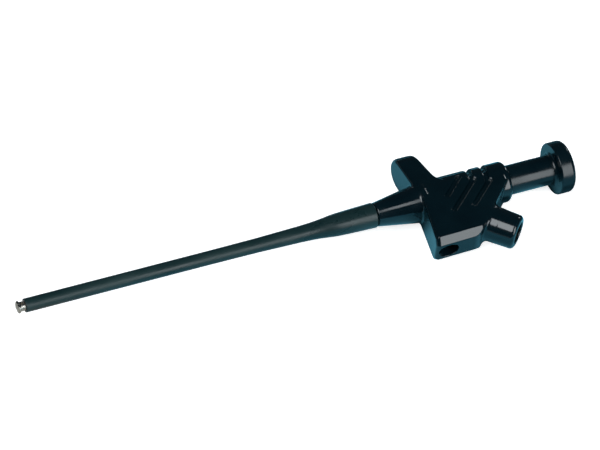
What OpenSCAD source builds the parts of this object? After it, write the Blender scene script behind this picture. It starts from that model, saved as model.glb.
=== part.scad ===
// Clamp-type test probe with a spring-loaded claw, a finger grip and an angled 4 mm socket.
// The shaft's axis is X: the claw's tip is at the origin and the push button at +X.
// The finger wings lie in the XY plane, and the socket points towards -Y.

/* [Overall] */
// Length over all, from the claw's tip to the push button's rear face
total_len = 158; // [156:1:162]

/* [Shaft] */
// Radius of the slim front part of the shaft sleeve
shaft_r = 1.87; // [1.8:0.01:1.95]
// Length of the claw that stands out of the sleeve at rest
claw_out = 2; // [1.5:0.25:2.5]
// Radius of the sleeve at its root, next to the nose cone
root_r = 3.42; // [3.35:0.01:3.5]

/* [Grip body] */
// Thickness of the grip on the shaft's axis
grip_t = 11; // [10.9:0.05:11.1]
// Slope of the grip's two flat faces towards the wing tips, in degrees
face_draft = 3.4; // [3:0.1:3.6]
// Reach of the lower wing from the axis
low_wing = 17.9; // [17.7:0.1:18.2]
// Reach of the upper wing from the axis
top_wing = 15.4; // [15:0.1:16]
// Chamfer along the lower wing's end
wing_chamfer = 1.75; // [1.4:0.05:2]
// Radius of the guide collar at the rear
collar_r = 5.62; // [5.6:0.01:5.7]
// Width of the three grip grooves
groove_w = 1.2; // [1:0.1:1.5]
// Depth of the grip grooves
groove_depth = 0.7; // [0.5:0.05:0.8]

/* [Plug socket] */
// Radius of the barrel at its mouth
barrel_r = 4.7; // [4.6:0.05:4.8]
// Radius of the plug bore
plug_r = 2.02; // [2:0.01:2.05]
// Depth of the plug bore
plug_depth = 13.5; // [13.4:0.05:13.6]
// Radius of the side hole for the contact screw
side_r = 2; // [1.9:0.05:2]

/* [Plunger] */
// Radius of the plunger's stem
stem_r = 4.05; // [3.95:0.01:4.1]
// Radius of the push button
button_r = 7.15; // [6.8:0.05:7.5]
// Thickness of the push button
button_t = 4.5; // [4:0.1:5]

/* [Claw] */
// Radius of the claw's neck
neck_r = 1.05; // [1:0.01:1.06]
// Radius of the claw's head
head_r = 1.68; // [1.5:0.02:1.75]
// Thickness of the claw's head
head_t = 0.55; // [0.4:0.05:0.7]

/* [Return spring] */
// Number of curls of the return spring
spring_curls = 7; // [5:1:7]
// Radius of the spring's wire
spring_wire_r = 0.22; // [0.2:0.01:0.23]

/* [Hidden] */
$fn = 96;

// Stations along the shaft's axis, counted from the claw's tip
button_x = total_len - button_t;        // front face of the push button
collar_x = total_len - 18.25;           // rear end of the guide collar
front_x = total_len - 44.8;             // front face of the wings
nose_x = total_len - 56.6;              // small end of the nose cone
spring_x = collar_x - 18.75;            // shoulder that carries the return spring
stem_in_x = collar_x - 5.35;             // inner end of the plunger's stem
sleeve_end_x = nose_x - 0.4;            // rear end of the shaft sleeve
bush_seat_x = nose_x + 8.6;             // step between the two seats in the nose
liner_x = 22;                           // front end of the liner
pivot_x = 8;                            // pivot of the two jaws

// Radii and clearances of the turned pieces
nose_r = 3.23;                          // nose cone, small end
nose_root_r = 5.15;                     // nose cone, at the wings
body_bore_r = stem_r + 0.07;            // bore that guides the plunger
bush_r = 2.6;                           // contact bush and its seat
ferrule_r = 1.9;                        // root ferrule and its seat
liner_r = 1.2;                          // liner of the shaft
wire_r = 0.5;                           // push wire
wire_bore_r = wire_r + 0.08;            // bores that guide the push wire
chamber_r = 1.36;                       // front chamber that the claw slides in
tip_bush_r = 1.55;                      // outside of the tip bush
wiper_r = 1.3;                          // outside of the wiper ring
washer_t = 0.5;                         // thickness of the spring washer
coupling_r = 1.5;                       // rod coupling
coupling_x = stem_in_x - 3.9;           // front end of the rod coupling
coupling_len = 9.6;

// The socket runs at 45 degrees, and the lower rear face of the grip is square to it
socket_mouth = [total_len - 22.57, -18.12];
barrel_len = 8.4;                       // from the lower rear face to the mouth
barrel_root = 6;                        // how far the barrel runs on inside the grip
contact_r = 2.6;                        // outside of the socket contact
contact_in = 1.5;                       // how far the contact lies inside the mouth
contact_end = 1;                        // thickness of the contact's closed end
rear_sum = total_len - 16.2;            // x - y all along the lower rear face

// The side hole runs at 45 degrees too, square to the socket and down to the screw's head
side_mouth = [total_len - 43.05, -low_wing];
side_len = 8.75;
screw_head_t = 1.3;
screw_r = 1;
screw_len = 2.2;

// Grip grooves: each climbs to the rear, and two of them then turn square over the collar
groove_paths = [[[front_x + 7.3, -3.6], [front_x + 12.9, 1.3]],
                [[front_x + 7.3, -8.5], [front_x + 16, -0.9], [front_x + 16, 8]],
                [[front_x + 13.1, -8.5], [front_x + 20.05, -2.4], [front_x + 20.05, 8]]];

// Jaws and the slot that they turn in
jaw_gap = 0.12;                         // between the closed jaws
shoulder_r = 1.3;                       // the jaws' thicker part, in front of the sleeve
tongue_t = 0.58;                        // thickness of one jaw's tongue on the pin
tongue_r = 0.8;
pin_r = 0.3;
slot_t = 1.32;                          // slot in the claw ferrule
head_w = 2.4;                           // width of the claw's head across the jaws

// Round stretch of an outline, from angle a0 to a1 about a centre
function arc_points(cx, cy, r, a0, a1, n = 8) =
    [for (i = [0:n]) let (a = a0 + (a1 - a0) * i / n) [cx + r * cos(a), cy + r * sin(a)]];

// Turned shape about the shaft's axis, from a profile of [x, r] points
module turned(points) {
    rotate([90, 0, 90]) rotate_extrude() polygon([for (p = points) [p[1], p[0]]]);
}

// Solid rod along the shaft's axis
module rod(x0, x1, r) {
    translate([x0, 0, 0]) rotate([0, 90, 0]) cylinder(h = x1 - x0, r = r);
}

// Plain ring along the shaft's axis
module ring(x0, x1, r_out, r_in) {
    turned([[x0, r_in], [x1, r_in], [x1, r_out], [x0, r_out]]);
}

// Places a shape so that +Z points out of a mouth in the XY plane
module out_of(mouth, direction) {
    translate([mouth[0], mouth[1], 0]) rotate([0, 0, direction]) rotate([0, 90, 0]) children();
}

module out_of_socket() {
    out_of(socket_mouth, -45) children();
}

module out_of_side_hole() {
    out_of(side_mouth, -135) children();
}

// Outline of the two wings and the lower part of the grip, seen from above
module wing_outline() {
    polygon(concat(
        [[front_x + 0.7, -4], [front_x + 0.4, 1], [front_x - 0.3, top_wing - 1.2]],
        arc_points(front_x + 0.9, top_wing - 1.2, 1.2, 178, 90),
        arc_points(front_x + 2.9, top_wing - 1.9, 1.9, 90, 11),
        arc_points(front_x + 9.4, 5.5, 3, 191, 270),
        [[front_x + 12, 1.2], [collar_x - 1.5, 1.2],
         [collar_x - 1.5, collar_x - 1.5 - rear_sum]],
        arc_points(rear_sum - low_wing - 1.4, 4.25 - low_wing, 4, -45, -88),
        arc_points(front_x - 0.35, 0.8 - low_wing, 0.8, -90, -172)));
}

// Cross-section of the wings: thickest on the axis, tapered to both tips.
// It is sunk all round by a small depth for the floor of the grooves.
module wing_section(sunk) {
    slope = tan(face_draft);
    half = grip_t / 2 - sunk;
    low = half - slope * (low_wing - wing_chamfer);
    tip_r = 4.7 - sunk;
    top = half - slope * (top_wing - tip_r);
    polygon(concat(
        [[-low_wing, wing_chamfer - low], [-low_wing, low - wing_chamfer],
         [wing_chamfer - low_wing, low], [0, half]],
        arc_points(top_wing - tip_r, top - tip_r, tip_r, 90 - face_draft, 0),
        arc_points(top_wing - tip_r, tip_r - top, tip_r, 0, face_draft - 90),
        [[0, -half], [wing_chamfer - low_wing, -low]]));
}

// The two wings as one slab
module wings(sunk = 0) {
    intersection() {
        translate([0, 0, -grip_t]) linear_extrude(height = 2 * grip_t) wing_outline();
        translate([front_x - 5, 0, 0]) rotate([90, 0, 90])
            linear_extrude(height = collar_x - front_x + 5) wing_section(sunk);
    }
}

// One groove: a straight run to each next corner
module groove(path) {
    for (i = [1:len(path) - 1]) let (a = path[i - 1], way = path[i] - a)
        translate([a[0], a[1], -grip_t]) rotate([0, 0, atan2(way[1], way[0])])
            translate([-groove_w * 0.4, -groove_w / 2, 0])
                cube([norm(way) + groove_w * 0.4, groove_w, 2 * grip_t]);
}

// Slots of the three grooves, down to a floor that lies groove_depth under the surface
module grooves() {
    difference() {
        for (path = groove_paths) groove(path);
        wings(groove_depth);
        rod(front_x, collar_x, collar_r - groove_depth);
    }
}

// Nose cone and guide collar, turned in one piece with the grip
module grip_core() {
    turned(concat(
        [[nose_x, 0], [nose_x, nose_r - 0.25], [nose_x + 0.25, nose_r],
         [front_x - 0.5, nose_root_r - 0.05], [front_x + 0.55, nose_root_r + 0.2],
         [front_x + 1.3, collar_r]],
        arc_points(collar_x - 1.2, collar_r - 1.2, 1.2, 90, 0),
        [[collar_x, 0]]));
}

// Barrel of the plug socket, slightly tapered to its mouth
module barrel() {
    out_of_socket() rotate_extrude() polygon(concat(
        [[0, -barrel_len - barrel_root], [barrel_r + 0.3, -barrel_len - barrel_root],
         [barrel_r + 0.2, -barrel_len], [barrel_r, -0.7]],
        arc_points(barrel_r - 0.7, -0.7, 0.7, 0, 90),
        [[0, 0]]));
}

// Every hollow of the grip
module grip_hollows() {
    rod(spring_x, collar_x + 1, body_bore_r);
    rod(bush_seat_x, spring_x + 1, bush_r);
    rod(nose_x - 1, bush_seat_x + 1, ferrule_r);
    out_of_socket() {
        translate([0, 0, -contact_in]) cylinder(h = contact_in + 1, r = contact_r + 0.3);
        translate([0, 0, -contact_in - plug_depth - contact_end])
            cylinder(h = plug_depth + contact_end + 0.5, r = contact_r);
    }
    out_of_side_hole() {
        translate([0, 0, -side_len - screw_head_t]) cylinder(h = side_len + 6, r = side_r);
        translate([0, 0, -side_len - screw_head_t - screw_len])
            cylinder(h = screw_len + 0.5, r = screw_r);
    }
    strip_blank();
}

// Moulded grip: nose cone, wings, guide collar and the barrel of the plug socket
module grip_body() {
    color("#101820") difference() {
        union() {
            wings();
            grip_core();
            barrel();
        }
        grip_hollows();
        grooves();
    }
}

// Soft sleeve of the shaft, swollen where it is pushed on the nose
module shaft_sleeve() {
    swell = [[50, 0], [66, 0.08], [71.5, 0.21], [77, 0.32], [80, 0.42], [82.6, 0.58],
             [85.2, 0.86], [86.8, 1.08], [88.2, 1.19], [91, 1.31], [94, 1.41], [97, 1.5]];
    color("#33403f") difference() {
        turned(concat(
            [[claw_out, 0], [claw_out, shaft_r - 0.2], [claw_out + 0.2, shaft_r]],
            [for (p = swell) [claw_out + p[0], shaft_r + p[1]]],
            arc_points(sleeve_end_x - 0.5, root_r - 0.5, 0.5, 90, 0, 4),
            [[sleeve_end_x, 0]]));
        rod(claw_out - 1, claw_out + 4.2, tip_bush_r);
        rod(claw_out, liner_x, chamber_r);
        rod(liner_x - 1, nose_x, liner_r);
    }
}

// Wound liner that stiffens the shaft, drawn as its tube
module shaft_liner() {
    color("silver") ring(liner_x, bush_seat_x, liner_r, wire_bore_r);
}

// Ferrule that anchors the liner in the nose, with a flange against the seat's step
module root_ferrule() {
    color("silver") difference() {
        rod(sleeve_end_x, bush_seat_x, ferrule_r);
        rod(sleeve_end_x - 1, bush_seat_x + 1, liner_r);
    }
}

// Ring on the liner's front end
module liner_end_ring() {
    color("silver") ring(liner_x - 1.5, liner_x, chamber_r, wire_bore_r);
}

// Metal bush that closes the jaws at the mouth of the sleeve
module tip_bush() {
    color("silver") ring(claw_out + 0.2, claw_out + 4.2, tip_bush_r, chamber_r);
}

// Brass bush on the axis that takes the current from the push wire
module contact_bush() {
    color("goldenrod") difference() {
        rod(bush_seat_x, spring_x, bush_r);
        rod(bush_seat_x - 1, spring_x + 1, wire_bore_r);
        rod(spring_x - 2, spring_x + 1, wiper_r);
    }
}

// Split ring that wipes on the push wire
module wiper_ring() {
    color("goldenrod") difference() {
        ring(spring_x - 2, spring_x - 0.4, wiper_r, wire_r + 0.05);
        translate([spring_x - 3, -0.2, 0]) cube([4, 0.4, 2]);
    }
}

// Space of the strip between the contact bush and the socket contact
module strip_blank() {
    strip_w = 2.4;
    start = [spring_x - 4, -2];
    end = [socket_mouth[0] - 11.6, socket_mouth[1] + 11];
    strip_t = 0.6;
    linear_extrude(height = strip_w, center = true)
        polygon([start, end, end + [0, -strip_t], start + [0, -strip_t]]);
}

// Brass strip from the contact bush to the socket contact
module link_strip() {
    color("goldenrod") difference() {
        strip_blank();
        rod(bush_seat_x, spring_x, bush_r);
        out_of_socket() translate([0, 0, -contact_in - plug_depth - contact_end])
            cylinder(h = plug_depth, r = contact_r);
    }
}

// Brass contact with the plug's bore
module socket_contact() {
    color("goldenrod") difference() {
        out_of_socket() translate([0, 0, -contact_in - plug_depth - contact_end])
            cylinder(h = plug_depth + contact_end, r = contact_r);
        out_of_socket() translate([0, 0, -contact_in - plug_depth])
            cylinder(h = plug_depth + 1, r = plug_r);
        out_of_side_hole() translate([0, 0, -side_len - screw_head_t - screw_len])
            cylinder(h = screw_len, r = screw_r);
    }
}

// Screw that holds the socket contact in the grip
module contact_screw() {
    color("silver") out_of_side_hole() difference() {
        union() {
            translate([0, 0, -side_len - screw_head_t]) cylinder(h = screw_head_t, r = side_r - 0.1);
            translate([0, 0, -side_len - screw_head_t - screw_len])
                cylinder(h = screw_len + 0.1, r = screw_r);
        }
        translate([-side_r, -0.25, -side_len - 0.6]) cube([2 * side_r, 0.5, 1]);
    }
}

// Washer between the shoulder and the return spring
module spring_washer() {
    color("silver") ring(spring_x, spring_x + washer_t, stem_r - 0.1, coupling_r + 0.3);
}

// Points of one ring of the spring's wire, square to the coil at turn t
spring_r = 3;
spring_x0 = spring_x + washer_t + spring_wire_r + 0.03;
spring_pitch = (stem_in_x - spring_wire_r - 0.03 - spring_x0) / spring_curls;
function coil_point(t) = [spring_x0 + spring_pitch * t, spring_r * cos(360 * t), spring_r * sin(360 * t)];
function wire_ring(t, sides) =
    let (out = [0, cos(360 * t), sin(360 * t)],
         along = [spring_pitch, -2 * PI * spring_r * sin(360 * t), 2 * PI * spring_r * cos(360 * t)],
         side = cross(along / norm(along), out))
    [for (k = [0:sides - 1]) coil_point(t) + spring_wire_r
        * (cos(360 * k / sides) * out + sin(360 * k / sides) * side)];

// Return spring: one unbroken coil of round wire
module return_spring() {
    sides = 6;
    rings = 8 * spring_curls;
    points = [for (i = [0:rings]) each wire_ring(i / 8, sides)];
    walls = [for (i = [0:rings - 1], k = [0:sides - 1])
        let (a = i * sides + k, b = i * sides + (k + 1) % sides)
        each [[a, a + sides, b], [b, a + sides, b + sides]]];
    caps = [[for (k = [0:sides - 1]) k], [for (k = [sides - 1:-1:0]) rings * sides + k]];
    color("silver") polyhedron(points, concat(walls, caps));
}

// Plunger: a stem with a round push button, hollow at its inner end for the coupling
module plunger() {
    round = 0.8;
    neck = 1.5;
    color("#101820") difference() {
        turned(concat(
            [[stem_in_x, 0], [stem_in_x, stem_r - 0.3], [stem_in_x + 0.3, stem_r]],
            arc_points(button_x - neck, stem_r + neck, neck, -90, 0),
            [[button_x, button_r - round]],
            arc_points(button_x + round, button_r - round, round, 180, 90),
            arc_points(total_len - round, button_r - round, round, 90, 0),
            [[total_len, 0]]));
        rod(stem_in_x - 1, coupling_x + coupling_len, coupling_r);
    }
}

// Coupling that is pressed into the plunger and grips the push wire
module rod_coupling() {
    color("goldenrod") difference() {
        union() {
            rod(coupling_x, coupling_x + coupling_len, coupling_r);
            rod(stem_in_x - 0.8, stem_in_x, coupling_r + 0.7);
        }
        rod(coupling_x - 1, coupling_x + coupling_len - 2, wire_r);
    }
}

// Steel wire from the coupling to the claw
module push_wire() {
    color("silver") rod(pivot_x + 2.5, coupling_x + coupling_len - 2, wire_r);
}

// Ferrule that carries the jaws on the front end of the push wire
module claw_ferrule() {
    color("silver") difference() {
        rod(pivot_x - 1, pivot_x + 7, chamber_r - 0.08);
        rod(pivot_x + 2.5, pivot_x + 8, wire_r);
        translate([pivot_x - 2, -chamber_r, -slot_t / 2]) cube([3.2, 2 * chamber_r, slot_t]);
        translate([pivot_x, 0, -chamber_r]) cylinder(h = 2 * chamber_r, r = pin_r);
    }
}

// Pin that both jaws turn on
module claw_pin() {
    color("silver") translate([pivot_x, 0, -1.15]) cylinder(h = 2.3, r = pin_r);
}

// One jaw of the claw: half of the neck and head, with a tongue on the pin
module jaw() {
    back_x = pivot_x - 1.6;
    color("gainsboro") difference() {
        union() {
            intersection() {
                union() {
                    rod(0, head_t, head_r);
                    rod(0, claw_out - 0.1, shoulder_r);
                    rod(0, back_x, neck_r);
                }
                translate([-1, jaw_gap / 2, -head_w / 2]) cube([pivot_x, head_r, head_w]);
            }
            translate([back_x - 0.5, jaw_gap / 2, 0.05])
                cube([2.1, tongue_r - jaw_gap / 2, tongue_t]);
            translate([pivot_x, 0, 0.05]) cylinder(h = tongue_t, r = tongue_r);
        }
        translate([pivot_x, 0, -1]) cylinder(h = 3, r = pin_r + 0.03);
        translate([head_t + 0.6, 0, -head_w]) cylinder(h = 2 * head_w, r = 0.45);
    }
}

module jaw_upper() {
    jaw();
}

// The lower jaw is the upper one turned half round the shaft's axis
module jaw_lower() {
    rotate([180, 0, 0]) jaw();
}

grip_body();
shaft_sleeve();
shaft_liner();
root_ferrule();
liner_end_ring();
tip_bush();
contact_bush();
wiper_ring();
link_strip();
socket_contact();
contact_screw();
spring_washer();
return_spring();
plunger();
rod_coupling();
push_wire();
claw_ferrule();
claw_pin();
jaw_upper();
jaw_lower();
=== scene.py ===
import math

import bpy
import numpy as np
from mathutils import Matrix, Vector


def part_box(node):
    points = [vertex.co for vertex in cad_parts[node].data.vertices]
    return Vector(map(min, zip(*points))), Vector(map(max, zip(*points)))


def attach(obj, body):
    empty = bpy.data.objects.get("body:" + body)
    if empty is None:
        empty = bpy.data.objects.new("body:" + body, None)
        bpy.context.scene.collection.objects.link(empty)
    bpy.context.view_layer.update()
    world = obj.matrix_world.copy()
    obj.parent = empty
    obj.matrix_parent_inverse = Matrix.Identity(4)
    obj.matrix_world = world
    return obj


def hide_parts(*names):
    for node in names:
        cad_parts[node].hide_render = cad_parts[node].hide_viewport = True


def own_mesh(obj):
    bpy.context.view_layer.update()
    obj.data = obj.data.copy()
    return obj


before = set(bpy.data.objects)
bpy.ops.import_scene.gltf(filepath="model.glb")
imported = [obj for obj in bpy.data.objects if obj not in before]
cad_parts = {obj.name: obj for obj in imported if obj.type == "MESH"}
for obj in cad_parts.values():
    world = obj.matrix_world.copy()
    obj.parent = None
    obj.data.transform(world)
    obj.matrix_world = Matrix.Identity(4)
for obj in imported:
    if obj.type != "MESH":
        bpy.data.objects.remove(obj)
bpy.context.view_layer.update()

mm = 0.001


def span(node):
    # Lowest and highest corner of a CAD node, in millimetres
    low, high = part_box(node)
    return low / mm, high / mm


gripLow, gripHigh = span("grip_body")
plungerLow, plungerHigh = span("plunger")
sleeveLow, sleeveHigh = span("shaft_sleeve")
totalLen = plungerHigh.x

# The camera looks down on the lower wing's side of the broad face, and is rolled so that the
# shaft climbs to the right. Turn is about the upright, tilt about the shaft, all in degrees.
cameraSet = {
    "target": (80.4, 1.88, 1.43),  # the point in the middle of the view, millimetres
    "distance": 1200.0,            # from that point, millimetres
    "turn": 18.5,
    "tilt": 38.0,
    "roll": 14.5,
    "lens": 272.2,
}


def addCamera(s):
    # shaftWay and downWay are the view's right and down before its roll, in the part's frame
    turn, tilt, roll = (math.radians(s[k]) for k in ("turn", "tilt", "roll"))
    downWay = Vector((0.0, -math.cos(tilt), -math.sin(tilt)))
    shaftWay = Vector((math.cos(turn), -math.sin(tilt) * math.sin(turn),
                       math.cos(tilt) * math.sin(turn)))
    backWay = shaftWay.cross(-downWay)
    right = shaftWay * math.cos(roll) + downWay * math.sin(roll)
    upward = shaftWay * math.sin(roll) - downWay * math.cos(roll)
    place = Matrix((right, upward, backWay)).transposed().to_4x4()
    place.translation = (Vector(s["target"]) + backWay * s["distance"]) * mm
    camera = bpy.data.objects.new("camera", bpy.data.cameras.new("camera"))
    bpy.context.scene.collection.objects.link(camera)
    camera.matrix_world = place
    camera.data.lens = s["lens"]
    camera.data.sensor_width = 36.0
    camera.data.clip_start = 0.05
    camera.data.clip_end = 50.0
    bpy.context.scene.camera = camera


addCamera(cameraSet)
print("camera set")


def emptyTree(owner):
    # The node tree of a material or a world, with nothing in it
    owner.use_nodes = True
    owner.node_tree.nodes.clear()
    return owner.node_tree


def showShader(tree, kind, shader):
    output = tree.nodes.new(kind)
    tree.links.new(shader.outputs[0], output.inputs["Surface"])


def objectPoints(tree, scale=(1.0, 1.0, 1.0), turn=(0.0, 0.0, 0.0)):
    # Object coordinates through a Mapping node
    place = tree.nodes.new("ShaderNodeTexCoord")
    mapping = tree.nodes.new("ShaderNodeMapping")
    mapping.inputs["Scale"].default_value = scale
    mapping.inputs["Rotation"].default_value = turn
    tree.links.new(place.outputs["Object"], mapping.inputs["Vector"])
    return mapping.outputs["Vector"]


def newGroup(name, inputs, outputs):
    # A node group with named sockets, and its two end nodes
    group = bpy.data.node_groups.new(name, "ShaderNodeTree")
    for way, sockets in (("INPUT", inputs), ("OUTPUT", outputs)):
        for label, kind in sockets:
            group.interface.new_socket(label, in_out=way, socket_type=kind)
    return group, group.nodes.new("NodeGroupInput"), group.nodes.new("NodeGroupOutput")


def mathNode(tree, operation, first, second):
    node = tree.nodes.new("ShaderNodeMath")
    node.operation = operation
    for socket, value in zip(node.inputs, (first, second)):
        if isinstance(value, (int, float)):
            socket.default_value = value
        else:
            tree.links.new(value, socket)
    return node.outputs[0]


def buildSkinGroup():
    # Skin of a piece: fine grain as a height, and smudges from handling as a roughness
    group, entry, outlet = newGroup(
        "mouldedSkin",
        [("Vector", "NodeSocketVector")]
        + [(label, "NodeSocketFloat") for label in ("Grain", "Smudge", "Low", "High")],
        [(label, "NodeSocketFloat") for label in ("Height", "Roughness", "Mask")])
    link = group.links.new
    grain = group.nodes.new("ShaderNodeTexNoise")
    grain.inputs["Detail"].default_value = 2.0
    smudge = group.nodes.new("ShaderNodeTexNoise")
    smudge.inputs["Detail"].default_value = 4.0
    smudge.inputs["Roughness"].default_value = 0.6
    for noise, scale in ((grain, "Grain"), (smudge, "Smudge")):
        link(entry.outputs["Vector"], noise.inputs["Vector"])
        link(entry.outputs[scale], noise.inputs["Scale"])
    spread = group.nodes.new("ShaderNodeMapRange")
    spread.inputs["From Min"].default_value = 0.38
    spread.inputs["From Max"].default_value = 0.66
    link(smudge.outputs["Fac"], spread.inputs["Value"])
    link(entry.outputs["Low"], spread.inputs["To Min"])
    link(entry.outputs["High"], spread.inputs["To Max"])
    link(grain.outputs["Fac"], outlet.inputs["Height"])
    link(spread.outputs["Result"], outlet.inputs["Roughness"])
    link(smudge.outputs["Fac"], outlet.inputs["Mask"])
    return group


skinGroup = buildSkinGroup()


def twoColours(tree, factor, first, second):
    # A soft change between two colours over the middle of the factor's range
    ramp = tree.nodes.new("ShaderNodeValToRGB")
    ramp.color_ramp.elements[0].color = (*first, 1.0)
    ramp.color_ramp.elements[1].color = (*second, 1.0)
    ramp.color_ramp.elements[0].position = 0.35
    ramp.color_ramp.elements[1].position = 0.68
    tree.links.new(factor, ramp.inputs["Fac"])
    return ramp.outputs["Color"]


# Finishes. Grain and smudge are noise scales, stretch and turn (degrees about Z) shape the
# pattern, and the bump's depth is in metres.
plasticSet = {
    "dark": (0.0003, 0.0052, 0.0085),
    "pale": (0.0006, 0.0074, 0.0112),
    "roughLow": 0.11,
    "roughHigh": 0.18,
    "stretch": (1.0, 1.0, 1.0),
    "turn": 0.0,
    "grain": 2200.0,
    "smudge": 130.0,
    "bump": 0.03,
    "bumpDepth": 0.00005,
    "ior": 1.52,
    "metallic": 0.0,
}
plungerSet = {**plasticSet, "roughLow": 0.19, "roughHigh": 0.27, "ior": 1.43}
sleeveSet = {
    **plasticSet,
    "dark": (0.006, 0.021, 0.023),
    "pale": (0.013, 0.034, 0.035),
    "roughLow": 0.27,
    "roughHigh": 0.45,
    "stretch": (0.35, 1.0, 1.0),
    "grain": 2600.0,
    "smudge": 160.0,
    "bump": 0.25,
    "bumpDepth": 0.00004,
    "ior": 1.42,
}
steelSet = {
    "dark": (0.42, 0.42, 0.43),
    "pale": (0.62, 0.62, 0.62),
    "roughLow": 0.22,
    "roughHigh": 0.36,
    "stretch": (1.0, 0.04, 0.04),  # fine rings round the piece's axis
    "turn": 0.0,
    "grain": 5200.0,
    "smudge": 400.0,
    "bump": 0.2,
    "bumpDepth": 0.00003,
    "ior": 1.5,
    "metallic": 1.0,
}
clawSteelSet = {**steelSet, "dark": (0.40, 0.375, 0.335), "pale": (0.62, 0.59, 0.53)}
brassSet = {**steelSet, "dark": (0.62, 0.43, 0.2), "pale": (0.8, 0.6, 0.32),
            "roughLow": 0.16, "roughHigh": 0.28}


def finish(name, s):
    # Two mottled colours under the skin group, with that group's grain as a fine bump
    material = bpy.data.materials.new(name)
    tree = emptyTree(material)
    link = tree.links.new
    shader = tree.nodes.new("ShaderNodeBsdfPrincipled")
    skin = tree.nodes.new("ShaderNodeGroup")
    skin.node_tree = skinGroup
    points = objectPoints(tree, s["stretch"], (0.0, 0.0, math.radians(s["turn"])))
    link(points, skin.inputs["Vector"])
    for label, key in (("Grain", "grain"), ("Smudge", "smudge"), ("Low", "roughLow"),
                       ("High", "roughHigh")):
        skin.inputs[label].default_value = s[key]
    relief = tree.nodes.new("ShaderNodeBump")
    relief.inputs["Strength"].default_value = s["bump"]
    relief.inputs["Distance"].default_value = s["bumpDepth"]
    link(skin.outputs["Height"], relief.inputs["Height"])
    link(relief.outputs["Normal"], shader.inputs["Normal"])
    link(skin.outputs["Roughness"], shader.inputs["Roughness"])
    link(twoColours(tree, skin.outputs["Mask"], s["dark"], s["pale"]), shader.inputs["Base Color"])
    shader.inputs["IOR"].default_value = s["ior"]
    shader.inputs["Metallic"].default_value = s["metallic"]
    showShader(tree, "ShaderNodeOutputMaterial", shader)
    return material


gripPlastic = finish("gripPlastic", plasticSet)
plungerPlastic = finish("plungerPlastic", plungerSet)
sleevePlastic = finish("sleevePlastic", sleeveSet)
contactBrass = finish("contactBrass", {**brassSet, "turn": 45.0})  # its axis is at 45 degrees
axisBrass = finish("axisBrass", brassSet)
clawSteel = finish("clawSteel", clawSteelSet)
plainSteel = finish("plainSteel", steelSet)
print("materials built")


def putMesh(name, surface, material, body, stands):
    # A surface is its points in millimetres, its quads and the normals at its points. A quad
    # whose last index is repeated is a triangle.
    points, quads, normals = surface
    triangles = quads[:, 2] == quads[:, 3]
    sizes = np.where(triangles, 3, 4)
    starts = np.concatenate(([0], np.cumsum(sizes)[:-1]))
    keep = np.ones(quads.shape, bool)
    keep[triangles, 3] = False
    mesh = bpy.data.meshes.new(name)
    mesh.vertices.add(len(points))
    mesh.vertices.foreach_set("co", (points * mm).astype(np.float32).ravel())
    mesh.loops.add(int(sizes.sum()))
    mesh.loops.foreach_set("vertex_index", quads[keep].astype(np.int32))
    mesh.polygons.add(len(quads))
    mesh.polygons.foreach_set("loop_start", starts.astype(np.int32))
    mesh.polygons.foreach_set("use_smooth", np.ones(len(quads), bool))
    mesh.update(calc_edges=True)
    mesh.validate()
    mesh.normals_split_custom_set_from_vertices(normals.astype(np.float32))
    mesh.materials.append(material)
    piece = bpy.data.objects.new(name, mesh)
    bpy.context.scene.collection.objects.link(piece)
    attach(piece, body)
    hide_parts(*stands)
    print("made", name, len(points), "points")


def arc(centreX, centreR, radius, start, end, steps=8):
    # Round stretch of a profile: centre plus radius times (cosine, sine) of the angle
    angles = np.radians(np.linspace(start, end, steps + 1))
    return [(centreX + radius * c, centreR + radius * s)
            for c, s in zip(np.cos(angles), np.sin(angles))]


def turnedSurface(profile, around, start, along):
    # A profile of (distance along, radius) carried round an axis. The point is
    # start + x * along + r * (cos t * side + sin t * other). Normals lean with the profile,
    # each neighbour counting by its length. An end of radius 0 closes in a pole.
    profile = np.array(profile, float)
    along = np.array(along, float) / np.linalg.norm(along)
    side = np.cross(along, (0.0, 0.0, 1.0))
    side /= np.linalg.norm(side)
    other = np.cross(along, side)
    step = np.roll(profile, -1, 0) - profile
    outward = np.stack((-step[:, 1], step[:, 0]), 1)  # as long as its stretch
    lean = outward + np.roll(outward, 1, 0)
    lean /= np.maximum(np.linalg.norm(lean, axis=1, keepdims=True), 1e-9)
    turn = np.linspace(0.0, 2 * np.pi, around, endpoint=False)
    ring = np.cos(turn)[:, None] * side + np.sin(turn)[:, None] * other
    points = np.array(start) + profile[:, None, 0:1] * along + profile[:, None, 1:2] * ring[None]
    normals = lean[:, None, 0:1] * along + lean[:, None, 1:2] * ring[None]
    rows = len(profile)
    i, j = np.meshgrid(np.arange(rows), np.arange(around), indexing="ij")
    here = i * around + j
    beside = i * around + (j + 1) % around
    above = (i + 1) % rows * around + j
    aboveBeside = (i + 1) % rows * around + (j + 1) % around
    quads = np.stack((here, beside, aboveBeside, above), -1).reshape(-1, 4)
    return points.reshape(-1, 3), quads, normals.reshape(-1, 3)


def closePoles(points, quads, normals, profile, around):
    # The rows of radius 0 shrink to one point each, and quads that lose a side become triangles
    index = np.arange(len(points))
    for row in np.flatnonzero(np.array(profile)[:, 1] <= 1e-9):
        index[row * around:(row + 1) * around] = row * around
    quads = index[quads]
    flat = quads == np.roll(quads, -1, 1)
    gone = flat.sum(1) > 1
    quads, flat = quads[~gone], flat[~gone]
    for corner in range(3):
        hit = flat[:, corner]
        quads[hit] = np.roll(quads[hit], -corner - 1, 1)
    single = flat.any(1)
    quads[single, 3] = quads[single, 2]
    used, back = np.unique(quads, return_inverse=True)
    return points[used], back.reshape(-1, 4), normals[used]


def turnedPiece(name, profile, material, body, stands, around,
                start=(0.0, 0.0, 0.0), along=(1.0, 0.0, 0.0)):
    surface = closePoles(*turnedSurface(profile, around, start, along), profile, around)
    putMesh(name, surface, material, body, stands)


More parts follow.
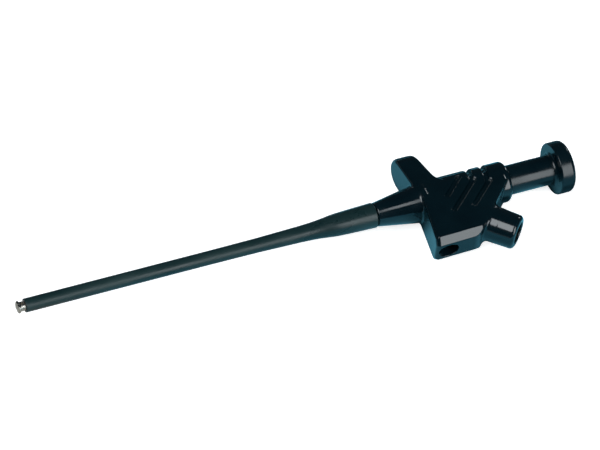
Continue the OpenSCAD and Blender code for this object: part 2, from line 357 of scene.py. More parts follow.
def gradient(formula, p, reach=0.02):
    # Slope of a distance formula, from values a short reach to both sides along each axis
    slope = np.empty_like(p)
    for k in range(3):
        shift = np.zeros(3)
        shift[k] = reach
        ahead, behind = p + shift, p - shift
        slope[:, k] = (formula(*ahead.T) - formula(*behind.T)) / (2 * reach)
    return slope


def blendedSurface(formula, low, high, step, pushes=4):
    # A closed skin where a signed distance formula is 0, negative inside: one point in each grid
    # cell that the skin passes, at the mean of the crossings on its edges, and one quad round
    # each crossed grid edge. The points are then pushed onto the skin along the slope.
    before, after = 1.7 * step, 2.3 * step  # how far the grid goes past the two corners
    axes = [np.arange(low[k] - before, high[k] + after, step) for k in range(3)]
    value = formula(*np.meshgrid(*axes, indexing="ij", sparse=True)).astype(np.float32)
    inside = value < 0
    shape = np.array(value.shape) - 1
    total = np.zeros((*shape, 3), np.float32)
    count = np.zeros(shape, np.int32)
    crossings = []
    for k in range(3):
        first = [slice(None)] * 3
        second = [slice(None)] * 3
        first[k], second[k] = slice(None, -1), slice(1, None)
        here, there = value[tuple(first)], value[tuple(second)]
        crossed = inside[tuple(first)] != inside[tuple(second)]
        where = np.argwhere(crossed)
        a, b = here[crossed], there[crossed]
        at = where.astype(np.float32)
        at[:, k] += a / (a - b)
        u, v = [m for m in range(3) if m != k]
        for du in (0, 1):
            for dv in (0, 1):
                cell = where.copy()
                cell[:, u] -= du
                cell[:, v] -= dv
                np.add.at(total, tuple(cell.T), at)
                np.add.at(count, tuple(cell.T), 1)
        crossings.append((k, where, a < 0))
    used = count > 0
    number = np.full(shape, -1, np.int64)
    number[used] = np.arange(used.sum())
    points = total[used] / count[used][:, None]
    points = np.stack([axes[k][0] + points[:, k] * step for k in range(3)], 1).astype(float)
    faces = []
    for k, where, forward in crossings:
        u, v = (k + 1) % 3, (k + 2) % 3
        corners = []
        for du, dv in ((1, 1), (0, 1), (0, 0), (1, 0)):
            cell = where.copy()
            cell[:, u] -= du
            cell[:, v] -= dv
            corners.append(number[tuple(cell.T)])
        ring = np.stack(corners, 1)
        ring[~forward] = ring[~forward][:, ::-1]
        faces.append(ring)
    quads = np.concatenate(faces)
    farthest = 0.4 * step
    for _ in range(pushes):
        slope = gradient(formula, points)
        size = np.maximum((slope ** 2).sum(1), 0.05)
        push = (formula(*points.T) / size)[:, None] * slope
        points -= np.clip(push, -farthest, farthest)
    normals = gradient(formula, points)
    normals /= np.maximum(np.linalg.norm(normals, axis=1, keepdims=True), 1e-9)
    return points, quads, normals


def blendedPiece(name, formula, node, step, material, body):
    low, high = span(node)
    putMesh(name, blendedSurface(formula, low, high, step), material, body, [node])


def cut(a, b, r=0.0):
    # What two solids share, with its edge rounded to radius r
    if r == 0.0:
        return np.maximum(a, b)
    u, v = np.maximum(r + a, 0), np.maximum(r + b, 0)
    return np.minimum(-r, np.maximum(a, b)) + np.sqrt(u * u + v * v)


def join(a, b, r=0.0):
    # Two solids together, with a hollow fillet of radius r where they meet
    return -cut(-a, -b, r)


gripSet = {
    "thick": 11.0,        # across the broad faces, on the axis
    "draft": 3.4,         # slope of the broad faces, degrees
    "collarR": 5.62,
    "collarSlim": 0.14,   # how much slimmer the collar is in front
    "collarRound": 1.2,   # rounding of both its ends
    "collarStart": 1.4,   # its front end, behind the wings' front face
    "collarFillet": 0.08,
    "noseR": 3.23,
    "noseRootR": 5.15,
    "noseEdge": 0.25,
    "noseIn": 2.0,        # how far the nose cone runs on inside the wings
    "noseFillet": 0.45,
    "bottom": 17.9,       # from the axis to the lower wing's end
    "frontBack": 44.8,    # from the button's rear face to the wings' front face
    "frontUpper": 0.1,    # how far the upper wing's front face stands back at the axis
    "upperLean": 0.062,   # how fast it comes forward towards its tip
    "frontLower": 0.4,    # how far the lower wing's stands back, lowerFrom under the axis
    "lowerFrom": 4.0,
    "lowerLean": 0.155,
    "changeLow": -4.5,    # where the front face changes from one wing's slope to the other's
    "changeWide": 2.5,
    "rearBack": 39.63,    # the upper wing's rear face, where it is rearAt off the axis
    "rearAt": 11.8,
    "rearLean": 0.189,
    "tipR": 4.7,          # full round of the upper wing's tip
    "tipOver": 0.35,      # how far its outline goes past the tip, whose round cuts it
    "tipCorner": 2.2,
    "upperFrom": -5.0,    # where the upper wing's outline starts, inside the lower one's
    "lowerTo": 1.5,       # and the lower one's, inside the upper one's and the collar
    "wingFillet": 3.2,    # hollow corner between the two wings' rear faces
    "edge": 0.8,          # rounding of the wings' edges
    "frontEdge": 1.25,    # and of the front face's
    "bottomRise": 0.027,  # slope of the lower wing's end
    "chamfer": 1.75,
    "chamferEdge": 0.12,
    "slantSum": 16.2,     # x - y on the slanted rear face, counted from the button's rear face
    "cornerR": 1.1,       # acts as 4 mm on the blunt corner
    "grooveR": 0.55,
    "grooveDepth": 0.9,
    "grooveFloor": 0.3,   # rounding at the foot of a groove
    "grooveCorner": 0.25,
    "grooveLip": 0.5,
    "groovePass": 1.15,   # how far a run goes past its bend
    # corners of each groove, from the wings' front face and from the axis
    "grooves": (((7.3, -3.6), (12.2, 0.7)),
                ((7.3, -8.5), (15.6, -1.25), (16.8, 8.0)),
                ((13.1, -8.5), (19.65, -2.75), (21.0, 8.0))),
    "guideR": 4.12,       # bore of the plunger, and where it starts
    "guideX": 121.0,
    "guideEdge": 0.2,
    "seatR": 2.6,         # seat of the contact bush, from its end to the button's rear face
    "seatBack": 48.0,
    "noseBoreR": 1.9,
    "cell": 0.235,        # grid cells that the skin is worked out on
}
barrelSet = {
    "mouthBack": 22.57,   # the mouth's centre, from the button's rear face
    "mouthDrop": 18.12,   # and from the axis
    "length": 8.4,
    "within": 6.0,        # how far the barrel runs on inside the grip
    "filletIn": 3.0,      # how far in its root takes part in the fillet
    "mouthR": 4.7,
    "rootR": 4.9,
    "rim": 1.15,
    "fillet": 1.2,
    "rootFillet": 0.1,
    "boreR": 2.9,
    "boreEdge": 0.1,
    "contactR": 2.6,
    "contactIn": 1.5,     # how far the contact lies inside the mouth
    "contactDepth": 16.0,
}
sideSet = {"mouthBack": 43.05, "r": 2.0, "depth": 10.05}  # hole down to the contact screw
# how much the mouth of each bore is rounded
boreLips = {"guide": 0.25, "seat": 0.05, "nose": 0.1, "socket": 0.35, "contact": 0.05, "side": 0.18}
slantWay = np.array((1.0, -1.0, 0.0)) / np.sqrt(2.0)
sideWay = np.array((-1.0, -1.0, 0.0)) / np.sqrt(2.0)
barrelMouth = np.array((totalLen - barrelSet["mouthBack"], -barrelSet["mouthDrop"], 0.0))
sideMouth = np.array((totalLen - sideSet["mouthBack"], -gripSet["bottom"], 0.0))


def axial(x, y, z, start, way):
    # Distance along a line in the XY plane from its start, and distance from the line
    along = (x - start[0]) * way[0] + (y - start[1]) * way[1]
    across = (x - start[0]) * way[1] - (y - start[1]) * way[0]
    return along, np.sqrt(across ** 2 + z ** 2)


def runDistance(x, y, start, end, wide, longer):
    # Distance in the XY plane from a slot with square ends, made a little longer at its end
    start, end = np.array(start), np.array(end)
    length = np.hypot(*(end - start))
    way = (end - start) / length
    along = (x - start[0]) * way[0] + (y - start[1]) * way[1]
    across = (x - start[0]) * way[1] - (y - start[1]) * way[0]
    beyond = np.maximum(-along - wide, along - length - longer)
    return cut(np.abs(across) - wide, beyond, gripSet["grooveCorner"])


def grooveSlots(x, y, front):
    # Slots along every run of every groove
    slots = None
    for corners in gripSet["grooves"]:
        for start, end in zip(corners[:-1], corners[1:]):
            away = runDistance(x - front, y, start, end, gripSet["grooveR"], gripSet["groovePass"])
            slots = away if slots is None else np.minimum(slots, away)
    return slots


def frontPlace(y):
    # The wings' front face: one slope under the axis and another above, with a smooth step
    # 3 s^2 - 2 s^3 between them
    g = gripSet
    share = np.clip((y - g["changeLow"]) / g["changeWide"], 0.0, 1.0)
    share = share * share * (3.0 - 2.0 * share)
    lowerAt = g["frontLower"] + g["lowerLean"] * (y + g["lowerFrom"])
    return (totalLen - g["frontBack"] + (1.0 - share) * lowerAt
            + share * (g["frontUpper"] - g["upperLean"] * y))


def gripSolid(x, y, z):
    # The grip without its grooves and bores, and the distances along and from the barrel's axis
    g, b = gripSet, barrelSet
    front = totalLen - g["frontBack"]
    slope = np.tan(np.radians(g["draft"]))
    radius = np.sqrt(y ** 2 + z ** 2)
    # Nose cone: radius grows evenly with x, and its end is cut square
    grow = (g["noseRootR"] - g["noseR"]) / (front - gripLow.x)
    cone = (radius - g["noseR"] - grow * (x - gripLow.x)) / np.hypot(1.0, grow)
    cone = cut(cone, gripLow.x - x, g["noseEdge"])
    cone = cut(cone, x - front - g["noseIn"])
    # Guide collar: a cylinder, a little slimmer in front, with rounded ends
    share = np.clip((gripHigh.x - x) / (gripHigh.x - front), 0.0, 1.0)
    collar = cut(radius - g["collarR"] + g["collarSlim"] * share, x - gripHigh.x, g["collarRound"])
    collar = cut(collar, front + g["collarStart"] - x, g["collarRound"])
    # Outline of the wings, without their front face
    rearFace = x - totalLen + g["rearBack"] + g["rearLean"] * (y - g["rearAt"])
    rearFace = rearFace / np.hypot(1.0, g["rearLean"])
    upper = cut(y - gripHigh.y - g["tipOver"], rearFace, g["tipCorner"])
    upper = cut(upper, g["upperFrom"] - y)
    slant = (x - y - totalLen + g["slantSum"]) / np.sqrt(2.0)
    bottom = -g["bottom"] - y + g["bottomRise"] * (x - front)
    lower = cut(slant, bottom, g["cornerR"])
    lower = cut(cut(lower, y - g["lowerTo"]), x - gripHigh.x + g["lowerTo"])
    outline = join(upper, lower, g["wingFillet"])
    # Barrel: a slightly tapered cylinder at 45 degrees, joined to the slanted face by a fillet
    along, away = axial(x, y, z, barrelMouth, slantWay)
    taper = (b["rootR"] - b["mouthR"]) / b["length"]
    barrel = (away - b["mouthR"] + taper * np.maximum(along, -b["length"])) / np.hypot(1.0, taper)
    barrel = cut(barrel, -b["length"] - b["within"] - along)
    outline = join(outline, cut(barrel, slant - b["filletIn"]), b["fillet"])
    # Broad faces, the full round of the upper tip, the chamfer of the lower end, and the front
    half = g["thick"] / 2 - slope * np.abs(y)
    face = (np.abs(z) - half) / np.hypot(1.0, slope)
    section = cut(face, y - gripHigh.y, g["tipR"])
    bevel = (np.abs(z) - half + g["chamfer"] + bottom) / np.sqrt(2.0)
    wings = cut(cut(outline, section, g["edge"]), bevel, g["chamferEdge"])
    wings = cut(wings, frontPlace(y) - x, g["frontEdge"])
    body = join(join(wings, cone, g["noseFillet"]), collar, g["collarFillet"])
    return join(body, cut(barrel, along, b["rim"]), b["rootFillet"]), along, away


def gripFormula(x, y, z):
    # The grip's solid less its grooves, whose floor follows the skin, and its bores
    g, b = gripSet, barrelSet
    body, along, away = gripSolid(x, y, z)
    slots = grooveSlots(x, y, totalLen - g["frontBack"])
    pocket = cut(slots, -body - g["grooveDepth"], g["grooveFloor"])
    body = cut(body, -pocket, g["grooveLip"])
    radius = np.sqrt(y ** 2 + z ** 2)
    sideAlong, sideAway = axial(x, y, z, sideMouth, sideWay)
    hollows = {
        "guide": cut(radius - g["guideR"], g["guideX"] - x, g["guideEdge"]),
        "seat": cut(radius - g["seatR"], totalLen - g["seatBack"] - x),
        "nose": radius - g["noseBoreR"],
        "socket": cut(away - b["boreR"], -b["contactIn"] - along, b["boreEdge"]),
        "contact": cut(away - b["contactR"], -b["contactDepth"] - along),
        "side": cut(sideAway - sideSet["r"], -sideSet["depth"] - sideAlong),
    }
    for name, hollow in hollows.items():
        body = cut(body, -hollow, boreLips[name])
    return body


blendedPiece("gripShell", gripFormula, "grip_body", gripSet["cell"], gripPlastic, "handle")

sleeveShape = {
    "slimR": 1.87,
    "rootR": 3.42,
    "lip": 0.2,           # rounding of the front end
    "rearRound": 0.2,
    "seatR": 1.55,        # seat of the tip bush
    "seatLen": 4.2,
    "seatEdge": 0.1,
    "boreR": 1.2,
    # stations from the mouth, and how much thicker the sleeve is there
    "swell": ((50.0, 0.0), (58.0, 0.03), (66.0, 0.08), (71.5, 0.21), (77.0, 0.32), (80.0, 0.42),
              (82.6, 0.58), (85.2, 0.86), (86.8, 1.08), (88.2, 1.19), (91.0, 1.31), (94.0, 1.41),
              (97.0, 1.5)),
    "smoothing": 1.2,     # the swell is a mean over this far to both sides
    "slimRun": (1.0, 48.0),
}


def sleeveProfile(s):
    # Slim tube that swells to its root. The radius is the mean of the stations' straight
    # stretches over a short reach.
    front, rear = sleeveLow.x, sleeveHigh.x
    swell = np.array(s["swell"])
    t = np.linspace(swell[0, 0], swell[-1, 0], 80)
    reach = np.linspace(-s["smoothing"], s["smoothing"], 9)
    thicker = np.interp(t[:, None] + reach, swell[:, 0], swell[:, 1]).mean(1)
    seatEnd = front + s["seatLen"]
    return ([(rear, s["boreR"]), (seatEnd, s["boreR"]), (seatEnd, s["seatR"]),
             (front + s["seatEdge"], s["seatR"]), (front, s["seatR"] + 0.6 * s["seatEdge"])]
            + arc(front + s["lip"], s["slimR"] - s["lip"], s["lip"], 180, 90, 6)
            + [(front + a, s["slimR"]) for a in np.linspace(*s["slimRun"], 16)]
            + [(front + a, s["slimR"] + b) for a, b in zip(t, thicker)]
            + arc(rear - s["rearRound"], s["rootR"] - s["rearRound"], s["rearRound"], 90, 0, 8))


turnedPiece("shaftTube", sleeveProfile(sleeveShape), sleevePlastic, "handle",
            ["shaft_sleeve"], 128)

plungerShape = {
    "stemR": 4.05,
    "stemRuns": (1.0, 6.0, 12.0, 17.0),  # rows of points along the stem
    "stemEdge": 0.3,
    "buttonR": 7.15,
    "buttonT": 4.5,
    "edge": 0.4,          # the button's front edge
    "rearEdge": 1.3,
    "neck": 1.0,          # hollow fillet between stem and button
    "crown": 0.12,
    "flat": 0.05,         # short flat stretch before a rounding starts
    "boreR": 1.5,
    "boreLen": 5.7,
    "boreEdge": 0.1,
}


def plungerProfile(s):
    # Stem, hollow neck fillet, rounded button with a faint crown, and a blind bore in front.
    # The crown falls with the square of the radius.
    front, rear = plungerLow.x, plungerHigh.x
    button = rear - s["buttonT"]
    e, f, n, t = s["edge"], s["rearEdge"], s["neck"], s["stemEdge"]
    crownR = np.linspace(s["buttonR"] - f - s["flat"], 0.0, 12)
    return ([(front + s["boreLen"], 0.0), (front + s["boreLen"], s["boreR"]),
             (front + s["boreEdge"], s["boreR"]), (front, s["boreR"] + s["boreEdge"]),
             (front, s["stemR"] - t - s["flat"])]
            + arc(front + t, s["stemR"] - t, t, 180, 90, 5)
            + [(front + a, s["stemR"]) for a in s["stemRuns"]]
            + arc(button - n, s["stemR"] + n, n, -90, 0, 10)
            + [(button, s["buttonR"] - e - 3 * s["flat"])]
            + arc(button + e, s["buttonR"] - e, e, 180, 90, 8)
            + arc(rear - f - s["crown"], s["buttonR"] - f, f, 90, 8, 12)
            + [(rear - s["crown"] * (r / s["buttonR"]) ** 2, r) for r in crownR])


turnedPiece("pushPlunger", plungerProfile(plungerShape), plungerPlastic, "push_rod",
            ["plunger"], 192)

contactShape = {
    "plugR": 2.02,        # bore of the plug
    "plugDepth": 13.5,
    "outerEdge": 0.14,
    "outerFlat": 0.02,
    "endEdge": 0.1,
    # rolled lip of the bore: (back from the mouth, out from the bore)
    "lip": ((0.5, 0.0), (0.25, 0.05), (0.05, 0.22), (0.0, 0.3)),
}


def contactProfile(s):
    # Blind sleeve, counted from the barrel's mouth: closed end, bore of the plug, rolled lip
    mouth, r, e = -barrelSet["contactIn"], barrelSet["contactR"], s["outerEdge"]
    end = -barrelSet["contactDepth"]
    bore = ([(mouth - s["plugDepth"], 0.0), (mouth - s["plugDepth"], s["plugR"])]
            + [(mouth - back, s["plugR"] + out) for back, out in s["lip"]])
    outside = ([(mouth, r - e - s["outerFlat"])] + arc(mouth - e, r - e, e, 0, 90, 4)[1:]
               + [(end + s["endEdge"], r), (end, r - s["endEdge"]), (end, 0.0)])
    return (bore + outside)[::-1]


turnedPiece("plugContact", contactProfile(contactShape), contactBrass, "handle",
            ["socket_contact"], 96, start=tuple(barrelMouth), along=tuple(slantWay))

bushShape = {"boreR": 1.36, "flare": 0.06, "flareLen": 0.12, "outerR": 1.55, "edge": 0.03}


def bushProfile(s):
    # Plain bush with a flared mouth
    low, high = span("tip_bush")
    return [(high.x, s["boreR"]), (low.x + s["flareLen"], s["boreR"]),
            (low.x, s["boreR"] + s["flare"]), (low.x, s["outerR"] - s["edge"]),
            (low.x + s["edge"], s["outerR"]), (high.x, s["outerR"])]


turnedPiece("tipBush", bushProfile(bushShape), plainSteel, "handle",
            ["tip_bush"], 64)

wireShape = {"r": 0.5, "edge": 0.05}


def wireProfile(s):
    # Round wire with broken edges
    low, high = span("push_wire")
    r, e = s["r"], s["edge"]
    return [(low.x, 0.0), (low.x, r - e), (low.x + e, r), (high.x - e, r), (high.x, r - e),
            (high.x, 0.0)]


turnedPiece("pushWire", wireProfile(wireShape), plainSteel, "push_rod",
            ["push_wire"], 24)
print("turned pieces made")

clawSet = {
    "pivotX": 8.0,        # from the claw's tip
    "backRun": 1.6,       # from the neck's end to the pivot
    "neckR": 1.05,
    "shoulderR": 1.3,     # thicker part in front of the sleeve
    "shoulderX": 1.95,
    "headR": 1.68,
    "headT": 0.55,
    "headW": 2.4,
    "headFrontEdge": 0.22,
    "headRearEdge": 0.12,
    "headFillet": 0.25,
    "shoulderEdge": 0.12,
    "shoulderFillet": 0.1,
    "neckEdge": 0.15,
    "sideEdge": 0.15,
    "fineEdge": 0.05,     # along the gap, round the bite and where the tongue starts
    "gap": 0.06,          # from the axis to each jaw
    "tongueR": 0.8,
    "tongueLow": 0.05,
    "tongueHigh": 0.63,
    "tongueIn": 0.5,      # how far the tongue runs on inside the neck
    "tongueEdge": 0.06,
    "biteX": 1.15,
    "biteR": 0.45,
    "eyeR": 0.33,
    "eyeEdge": 0.04,
    "cell": 0.06,
}
forkSet = {
    "r": 1.28,
    "front": 1.0,         # from the pivot to its front end
    "back": 7.0,
    "slotHalf": 0.66,
    "slotBack": 1.2,
    "eyeR": 0.3,
    "wireR": 0.5,
    "wireFront": 2.5,     # from the pivot to the end of the wire's hole
    "frontEdge": 0.1,
    "backEdge": 0.2,
    "slotEdge": 0.06,
    "holeEdge": 0.03,
    "cell": 0.08,
}
pinSet = {"r": 0.3, "half": 1.15, "edge": 0.08, "cell": 0.06}
screwSet = {
    "top": 8.75,          # from the side hole's mouth down to the head
    "headR": 1.9,
    "headT": 1.3,
    "shankR": 1.0,
    "shankIn": 0.9,       # how far the shank runs on inside the head
    "length": 3.5,
    "slotHalf": 0.25,
    "slotDepth": 0.6,
    "headEdge": 0.2,
    "endEdge": 0.1,
    "slotEdge": 0.05,
    "cell": 0.1,
}


def jawFormula(x, y, z):
    # Half of the neck and head above the gap, a round bite across it, and a tongue on the pin
    c = clawSet
    radius = np.sqrt(y ** 2 + z ** 2)
    back = c["pivotX"] - c["backRun"]
    head = cut(radius - c["headR"], -x, c["headFrontEdge"])
    head = cut(head, x - c["headT"], c["headRearEdge"])
    neck = cut(cut(radius - c["neckR"], x - back, c["neckEdge"]), -x)
    shoulder = cut(cut(radius - c["shoulderR"], x - c["shoulderX"], c["shoulderEdge"]), -x)
    neck = join(neck, shoulder, c["shoulderFillet"])
    body = join(head, neck, c["headFillet"])
    body = cut(body, np.abs(z) - c["headW"] / 2, c["sideEdge"])
    body = cut(body, c["gap"] - y, c["fineEdge"])
    bite = np.sqrt((x - c["biteX"]) ** 2 + y ** 2) - c["biteR"]
    body = cut(body, -bite, c["fineEdge"])
    middle = (c["tongueLow"] + c["tongueHigh"]) / 2
    level = np.abs(z - middle) - (c["tongueHigh"] - c["tongueLow"]) / 2
    away = np.sqrt((x - c["pivotX"]) ** 2 + y ** 2)
    strap = cut(cut(c["gap"] - y, y - c["tongueR"]), back - c["tongueIn"] - x)
    strap = cut(strap, x - c["pivotX"])
    tongue = cut(join(strap, away - c["tongueR"]), level, c["tongueEdge"])
    body = join(body, tongue, c["fineEdge"])
    return cut(body, c["eyeR"] - away, c["eyeEdge"])


def lowerJawFormula(x, y, z):
    # The upper jaw turned half round the shaft's axis
    return jawFormula(x, -y, -z)


def forkFormula(x, y, z):
    # Round ferrule with the jaws' slot, a hole for the pin and a blind hole for the wire
    f, pivot = forkSet, clawSet["pivotX"]
    radius = np.sqrt(y ** 2 + z ** 2)
    body = cut(radius - f["r"], pivot - f["front"] - x, f["frontEdge"])
    body = cut(body, x - pivot - f["back"], f["backEdge"])
    slot = cut(np.abs(z) - f["slotHalf"], x - pivot - f["slotBack"])
    away = np.sqrt((x - pivot) ** 2 + y ** 2)
    wire = cut(radius - f["wireR"], pivot + f["wireFront"] - x)
    body = cut(cut(body, -slot, f["slotEdge"]), f["eyeR"] - away, f["holeEdge"])
    return cut(body, -wire, f["holeEdge"])


def pinFormula(x, y, z):
    # Short round pin across the fork
    away = np.sqrt((x - clawSet["pivotX"]) ** 2 + y ** 2)
    return cut(away - pinSet["r"], np.abs(z) - pinSet["half"], pinSet["edge"])


def screwFormula(x, y, z):
    # Round head with a slot across it, and a plain shank, along the side hole
    s = screwSet
    along, away = axial(x, y, z, sideMouth, sideWay)
    top = -s["top"]
    head = cut(away - s["headR"], along - top, s["headEdge"])
    head = cut(head, top - s["headT"] - along, s["endEdge"])
    shank = cut(away - s["shankR"], along - top + s["shankIn"])
    shank = cut(shank, top - s["length"] - along, s["endEdge"])
    slot = cut(np.abs(z) - s["slotHalf"], top - s["slotDepth"] - along)
    return cut(join(head, shank), -slot, s["slotEdge"])


for name, formula, node, cell, body in (
        ("upperJaw", jawFormula, "jaw_upper", clawSet["cell"], "upper_jaw"),
        ("lowerJaw", lowerJawFormula, "jaw_lower", clawSet["cell"], "lower_jaw"),
        ("clawFork", forkFormula, "claw_ferrule", forkSet["cell"], "push_rod"),
        ("clawPin", pinFormula, "claw_pin", pinSet["cell"], "push_rod")):
    blendedPiece(name, formula, node, cell, clawSteel, body)
blendedPiece("fixingScrew", screwFormula, "contact_screw", screwSet["cell"], plainSteel, "handle")
print("claw made")

# Inner pieces that keep their own CAD solid
nodeFinish = {
    "shaft_liner": plainSteel, "root_ferrule": plainSteel, "liner_end_ring": plainSteel,
    "contact_bush": axisBrass, "wiper_ring": axisBrass, "link_strip": axisBrass,
    "spring_washer": plainSteel, "return_spring": plainSteel, "rod_coupling": axisBrass,
}
for node, material in nodeFinish.items():
    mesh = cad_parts[node].data
    mesh.materials.clear()
    mesh.materials.append(material)
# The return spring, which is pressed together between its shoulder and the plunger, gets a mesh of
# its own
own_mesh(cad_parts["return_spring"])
print("inner pieces finished")

# Each softbox faces the grip. "toward" is the direction to its middle, and "turn" its own turn
# about that direction, in degrees. Distance and size are in metres, and level is its
# brightness, where 1 is white.
lightSet = {
    "front": {"toward": (0.42, -0.79, 0.44), "distance": 2.2, "size": (0.95, 1.8), "turn": 0.0,
              "level": 5.0},
    "strip": {"toward": (0.0, -0.43, 1.0), "distance": 2.2, "size": (0.11, 0.7), "turn": 0.0,
              "level": 6.0},
    "top": {"toward": (-0.6, -0.28, 1.0), "distance": 3.0, "size": (2.0, 1.6), "turn": -52.0,
            "level": 6.0},
    "rear": {"toward": (0.8, 0.52, 0.30), "distance": 2.2, "size": (0.3, 0.3), "turn": 0.0,
             "level": 14.0},
    "far": {"toward": (-0.06, 0.98, 0.19), "distance": 2.2, "size": (0.25, 0.3), "turn": 0.0,
            "level": 2.0},
}
lampTint = (0.93, 1.0, 1.03)
white = (1.0, 1.0, 1.0)
lightAim = Vector((totalLen * 0.8, 0.0, 0.0)) * mm  # on the axis, in the grip


def addSoftbox(name, s):
    # Its width runs across the upright plane through its middle before the turn
    lamp = bpy.data.lights.new(name, "AREA")
    lamp.shape = "RECTANGLE"
    lamp.size, lamp.size_y = s["size"]
    lamp.color = lampTint
    lamp.energy = s["level"] * math.pi * s["size"][0] * s["size"][1]
    box = bpy.data.objects.new(name, lamp)
    bpy.context.scene.collection.objects.link(box)
    back = Vector(s["toward"]).normalized()
    side = Vector((0.0, 0.0, 1.0)).cross(back).normalized()
    side = Matrix.Rotation(math.radians(s["turn"]), 3, back) @ side
    place = Matrix((side, back.cross(side), back)).transposed().to_4x4()
    place.translation = lightAim + back * s["distance"]
    box.matrix_world = place
    box.visible_camera = False


for name, s in lightSet.items():
    addSoftbox(name + "Softbox", s)

# The floor is white to the camera. The part's gloss shows a tinted floor instead, a painted
# reflection, with painted shade behind the part and two painted bright patches. All lengths are in
# metres.
floorSet = {
    "drop": 0.0075,                # below the shaft's axis
    "size": 6.0,
    "shade": 0.8,
    "cameraGlow": 0.8,
    # painted reflection: the colour the gloss sees in place of the white floor
    "paintedReflectionTint": (0.19, 0.64, 0.84),
    # painted shade in the reflection, behind the part
    "paintedReflectionShade": 0.25,             # share of the tint that is left behind the part
    "borderX": (0.110, 0.117),     # the border with the dim side steps from one Y to the other
    "borderY": (0.001, -0.015),
    "soft": 0.003,
    # painted bright patches in the reflection, across the whole floor: they rise from the 1st to
    # the
    # 2nd X, and fall from the 3rd to the 4th
    "patches": ((0.096, 0.101, 0.109, 0.113), (0.141, 0.145, 0.151, 0.153)),
    # painted glow of the patches, seen only in the gloss
    "paintedPatchGlow": 0.4,
    # painted neutral reflection under the claw
    "paintedPlainTint": (0.6, 0.58, 0.55),  # under the claw, up to these X
    "plainEnd": (0.008, 0.030),
}


def seenBy(tree, labels):
    # 1 for rays of any of the named kinds, else 0
    path = tree.nodes.new("ShaderNodeLightPath")
    total = path.outputs[labels[0]]
    for label in labels[1:]:
        total = mathNode(tree, "MAXIMUM", total, path.outputs[label])
    return total


def softStep(tree, value, start, end, low, high):
    # Smooth change from low to high while the value goes from start to end
    step = tree.nodes.new("ShaderNodeMapRange")
    step.interpolation_type = "SMOOTHSTEP"
    tree.links.new(value, step.inputs["Value"])
    for label, number in (("From Min", start), ("From Max", end), ("To Min", low),
                          ("To Max", high)):
        step.inputs[label].default_value = number
    return step.outputs["Result"]


def paintedReflectionShares(tree, s):
    # Three shares of the floor's painted reflection: where it is bright in the gloss (the near side
    # of the border, and the patches), the patches alone, and the plain part under the claw; beyond
    # the border lies painted shade
    place = tree.nodes.new("ShaderNodeSeparateXYZ")
    tree.links.new(objectPoints(tree), place.inputs[0])
    x, y = place.outputs["X"], place.outputs["Y"]
    border = softStep(tree, x, *s["borderX"], *s["borderY"])
    near = softStep(tree, mathNode(tree, "SUBTRACT", y, border), -s["soft"], s["soft"], 1.0, 0.0)
    patches = 0.0
    for a, b, c, d in s["patches"]:
        rise = softStep(tree, x, a, b, 0.0, 1.0)
        fall = softStep(tree, x, c, d, 1.0, 0.0)
        patches = mathNode(tree, "MAXIMUM", patches, mathNode(tree, "MULTIPLY", rise, fall))
    bright = mathNode(tree, "MAXIMUM", near, patches)
    return bright, patches, softStep(tree, x, *s["plainEnd"], 1.0, 0.0)


def plainNode(tree, kind, colour, strength=None):
    # A diffuse, emission or background shader of one colour
    node = tree.nodes.new(kind)
    node.inputs["Color"].default_value = (*colour, 1.0)
    if strength is not None:
        node.inputs["Strength"].default_value = strength
    return node


def mixShaders(tree, factor, first, second):
    # Two shaders mixed by a factor, or added where it is None
    kind = "ShaderNodeAddShader" if factor is None else "ShaderNodeMixShader"
    node = tree.nodes.new(kind)
    ends = list(node.inputs)
    if factor is not None:
        tree.links.new(factor, ends.pop(0))
    tree.links.new(first.outputs[0], ends[0])
    tree.links.new(second.outputs[0], ends[1])
    return node


def mixColours(tree, factor, first, second):
    # Two colours mixed by a factor, where the first is a colour or a socket
    node = tree.nodes.new("ShaderNodeMixRGB")
    tree.links.new(factor, node.inputs["Fac"])
    if isinstance(first, bpy.types.NodeSocket):
        tree.links.new(first, node.inputs["Color1"])
    else:
        node.inputs["Color1"].default_value = (*first, 1.0)
    node.inputs["Color2"].default_value = (*second, 1.0)
    return node.outputs["Color"]


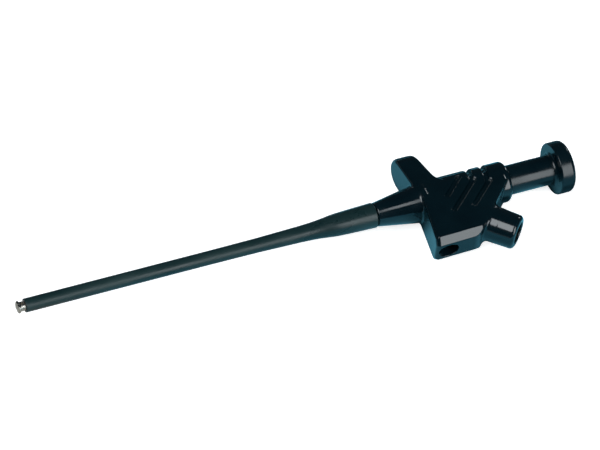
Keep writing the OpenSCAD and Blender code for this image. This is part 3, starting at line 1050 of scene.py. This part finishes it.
def floorMaterial(s):
    # The camera sees a white floor that keeps the part's shadow, and the gloss of the part
    # sees the tinted one: a painted reflection, with painted shade behind the part and glowing
    # painted patches
    material = bpy.data.materials.new("paleFloor")
    tree = emptyTree(material)
    bright, patches, plainPart = paintedReflectionShares(tree, s)
    pale = plainNode(tree, "ShaderNodeBsdfDiffuse", (s["shade"],) * 3)
    glow = plainNode(tree, "ShaderNodeEmission", white, s["cameraGlow"])
    toCamera = mixShaders(tree, None, pale, glow)
    seen = mixShaders(tree, seenBy(tree, ["Is Camera Ray"]), pale, toCamera)
    tint = mixColours(tree, bright, [s["paintedReflectionShade"] * c for c in s["paintedReflectionTint"]], s["paintedReflectionTint"])
    mirror = plainNode(tree, "ShaderNodeBsdfDiffuse", s["paintedReflectionTint"])
    tree.links.new(mixColours(tree, plainPart, tint, s["paintedPlainTint"]), mirror.inputs["Color"])
    # painted glow: the patches shine in the gloss though they are no lamp
    paintedGlow = plainNode(tree, "ShaderNodeEmission", s["paintedReflectionTint"])
    tree.links.new(mathNode(tree, "MULTIPLY", patches, s["paintedPatchGlow"]), paintedGlow.inputs["Strength"])
    glossy = mixShaders(tree, None, mirror, paintedGlow)
    both = mixShaders(tree, seenBy(tree, ["Is Glossy Ray", "Is Transmission Ray"]), seen, glossy)
    showShader(tree, "ShaderNodeOutputMaterial", both)
    return material


def addFloor(s):
    # One square, face up
    half = s["size"] / 2
    corners = [(x * half, y * half, -s["drop"]) for x, y in ((-1, -1), (1, -1), (1, 1), (-1, 1))]
    mesh = bpy.data.meshes.new("floor")
    mesh.from_pydata(corners, [], [(0, 1, 2, 3)])
    mesh.materials.append(floorMaterial(s))
    floor = bpy.data.objects.new("floor", mesh)
    bpy.context.scene.collection.objects.link(floor)


addFloor(floorSet)

worldSet = {"dim": (0.030, 0.042, 0.050), "glow": 1.0}


def setWorld(s):
    # White to the camera, and dim all round the part
    world = bpy.data.worlds.new("studio")
    bpy.context.scene.world = world
    tree = emptyTree(world)
    dim = plainNode(tree, "ShaderNodeBackground", s["dim"], 1.0)
    back = plainNode(tree, "ShaderNodeBackground", white, s["glow"])
    both = mixShaders(tree, seenBy(tree, ["Is Camera Ray"]), dim, back)
    showShader(tree, "ShaderNodeOutputWorld", both)


setWorld(worldSet)
bpy.context.scene.view_settings.view_transform = "Standard"
print("light and floor set")
